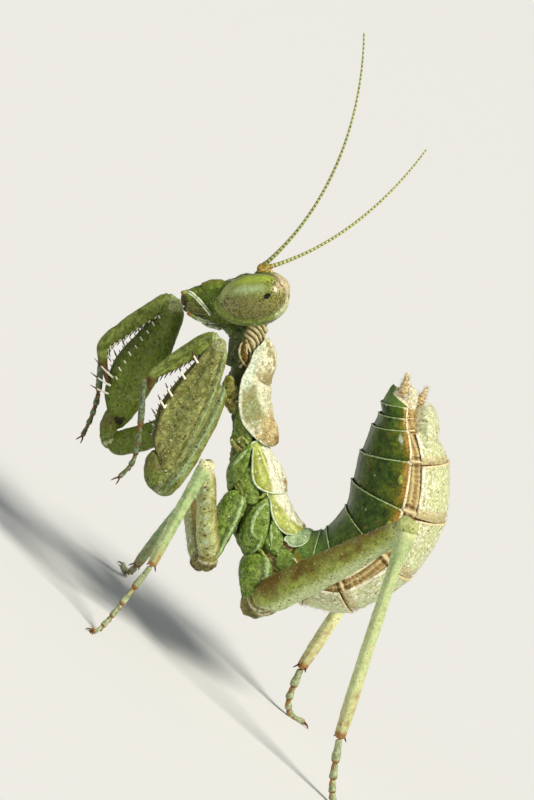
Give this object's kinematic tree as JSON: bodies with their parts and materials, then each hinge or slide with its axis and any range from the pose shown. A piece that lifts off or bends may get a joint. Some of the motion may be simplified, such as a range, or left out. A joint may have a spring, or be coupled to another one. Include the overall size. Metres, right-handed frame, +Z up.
{
  "type": "praying mantis nymph",
  "caption": "Life-size still model of a young dwarf praying mantis, standing with its grasping legs folded and its abdomen curled up over its back.",
  "frame": {"origin": "on the floor under the centre of the animal's bounding box", "axes": "+Z up from the floor, -X toward the animal's head, -Y toward its left side"},
  "size_m": [0.019, 0.0154, 0.0252],
  "materials": {
    "eye": "faceted compound eye, pale olive with dark specks, smooth gloss",
    "head_shell": "insect shell, yellow-green, satin",
    "mouthparts": "insect shell, olive brown, satin",
    "palp": "insect shell, off-white striped green, satin",
    "feeler": "beaded insect shell, pale and dark rings",
    "neck_shield": "insect shell, cream mottled brown, finely grained",
    "thorax_shell": "insect shell, green with pale ridges, satin",
    "neck_skin": "soft ringed skin, beige over dark green",
    "wing_pad": "insect shell, yellow-green with a white rim",
    "abdomen_shell": "insect shell, dark green above and pale green below",
    "belly_shell": "insect shell, pale green with brown specks",
    "tail_feeler": "ringed insect shell, brown and white",
    "grasping_leg": "insect shell, olive densely specked with brown",
    "grasping_shin": "insect shell, green with an orange edge",
    "leg_base": "insect shell, granular green",
    "walking_thigh": "insect shell, pale olive with brown spots",
    "walking_shin": "insect shell, green fading to cream",
    "foot": "insect shell, pale joints banded brown"
  },
  "bodies": {
    "root": {"eye_left": "eye", "eye_right": "eye", "head": "head_shell", "clypeus_labrum": "head_shell", "mouthparts": "mouthparts", "palp_left": "palp", "palp_right": "palp", "antenna_left": "feeler", "antenna_right": "feeler", "pronotum": "neck_shield", "prothorax": "thorax_shell", "neck": "neck_skin", "mesonotum": "wing_pad", "metanotum": "wing_pad", "mesothorax": "thorax_shell", "metathorax": "thorax_shell", "abdomen_1": "abdomen_shell", "abdomen_2": "abdomen_shell", "abdomen_3": "abdomen_shell", "abdomen_4": "abdomen_shell", "abdomen_5": "abdomen_shell", "abdomen_6": "abdomen_shell", "abdomen_7": "abdomen_shell", "abdomen_8": "abdomen_shell", "abdomen_9": "abdomen_shell", "abdomen_10": "abdomen_shell", "subgenital_plate": "belly_shell", "cercus_left": "tail_feeler", "cercus_right": "tail_feeler", "fore_coxa_left": "grasping_leg", "fore_femur_left": "grasping_leg", "fore_tibia_left": "grasping_shin", "fore_tarsus_left": "foot", "fore_coxa_right": "grasping_leg", "fore_femur_right": "grasping_leg", "fore_tibia_right": "grasping_shin", "fore_tarsus_right": "foot", "mid_coxa_left": "leg_base", "mid_femur_left": "walking_thigh", "mid_tibia_left": "walking_shin", "mid_tarsus_left": "foot", "mid_coxa_right": "leg_base", "mid_femur_right": "walking_thigh", "mid_tibia_right": "walking_shin", "mid_tarsus_right": "foot", "hind_coxa_left": "leg_base", "hind_femur_left": "walking_thigh", "hind_tibia_left": "walking_shin", "hind_tarsus_left": "foot", "hind_coxa_right": "leg_base", "hind_femur_right": "walking_thigh", "hind_tibia_right": "walking_shin", "hind_tarsus_right": "foot"}
  },
  "joints": []
}
